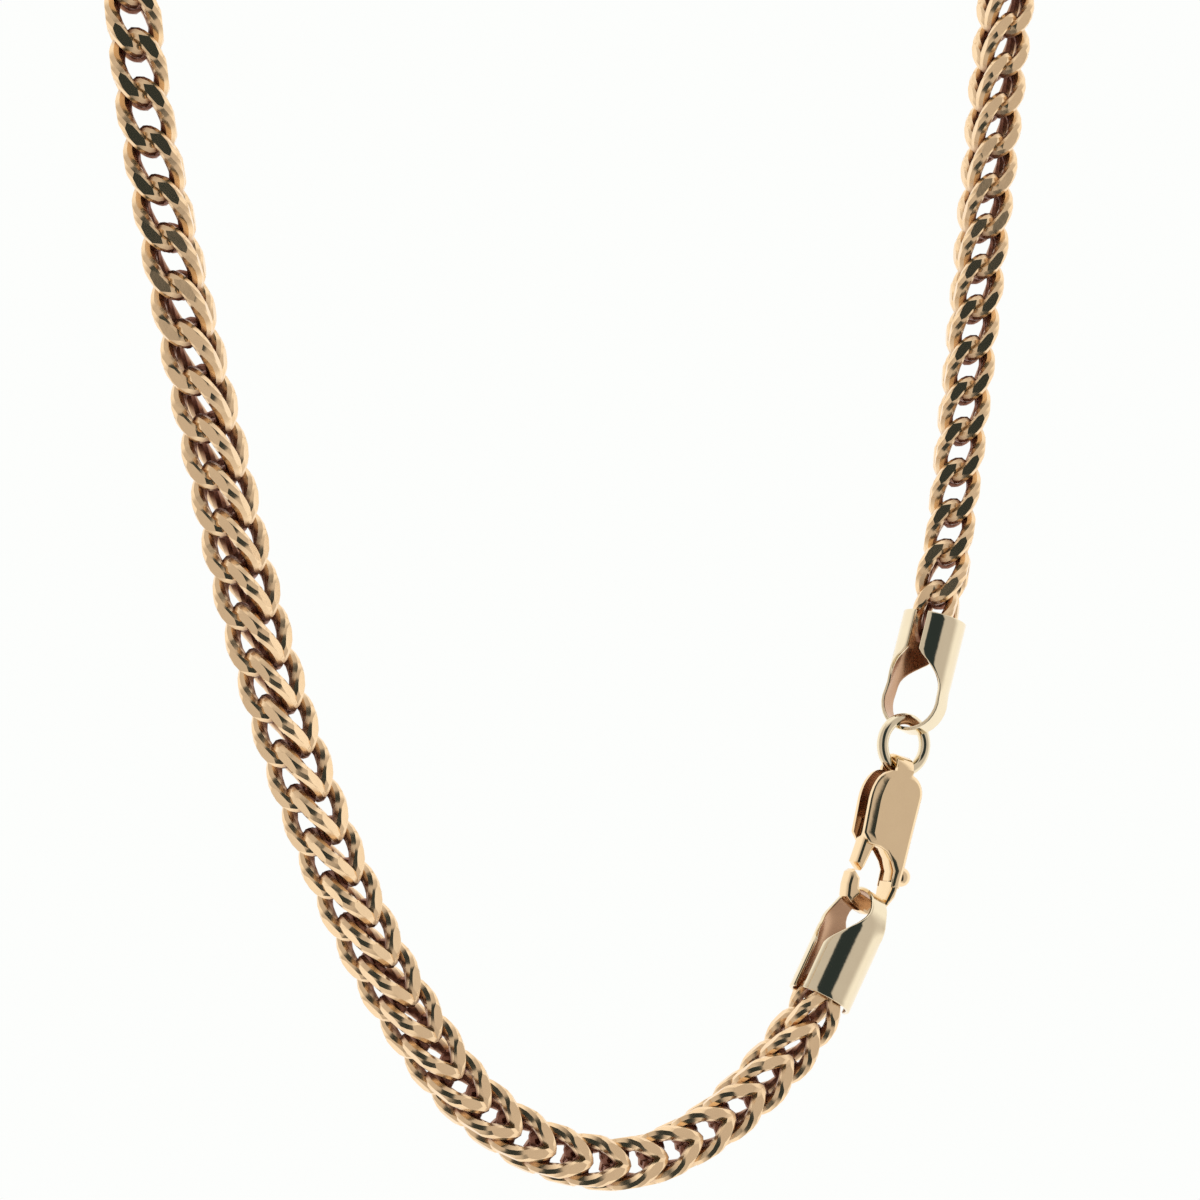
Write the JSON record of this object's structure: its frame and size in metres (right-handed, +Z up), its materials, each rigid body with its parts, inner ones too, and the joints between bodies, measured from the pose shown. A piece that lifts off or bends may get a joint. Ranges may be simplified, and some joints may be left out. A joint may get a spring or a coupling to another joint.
{
  "type": "gold franco chain necklace with lobster clasp",
  "caption": "Square gold franco chain of crossed, flat-cut round-wire links, joined to a closed hanging loop by folded end caps, a jump ring and a lobster clasp.",
  "frame": {"origin": "under the middle of the chain's highest point, where the back of the neck carries it", "axes": "+Z up, +Y from the front of the neck to the nape, +X towards the clasp's side"},
  "size_m": [0.1, 0.0684, 0.1743],
  "materials": {
    "chain_gold": null,
    "pale_gold": null
  },
  "bodies": {
    "necklace": {"chain_right": "chain_gold", "chain_left": "chain_gold", "end_cap_upper": "pale_gold", "jump_ring": "pale_gold", "clasp_body": "pale_gold", "lever_pin": "pale_gold", "end_cap_lower": "pale_gold"},
    "lever": {"clasp_lever": "pale_gold"}
  },
  "joints": [
    {"name": "lever_hinge", "type": "hinge", "parent": "necklace", "child": "lever", "pos_m": [0.03, -0.063, -0.14011], "axis": [0, -1, 0], "range_deg": [0, 12], "stiffness_Nm_per_rad": 0.002, "springref_deg": -5.73}
  ]
}
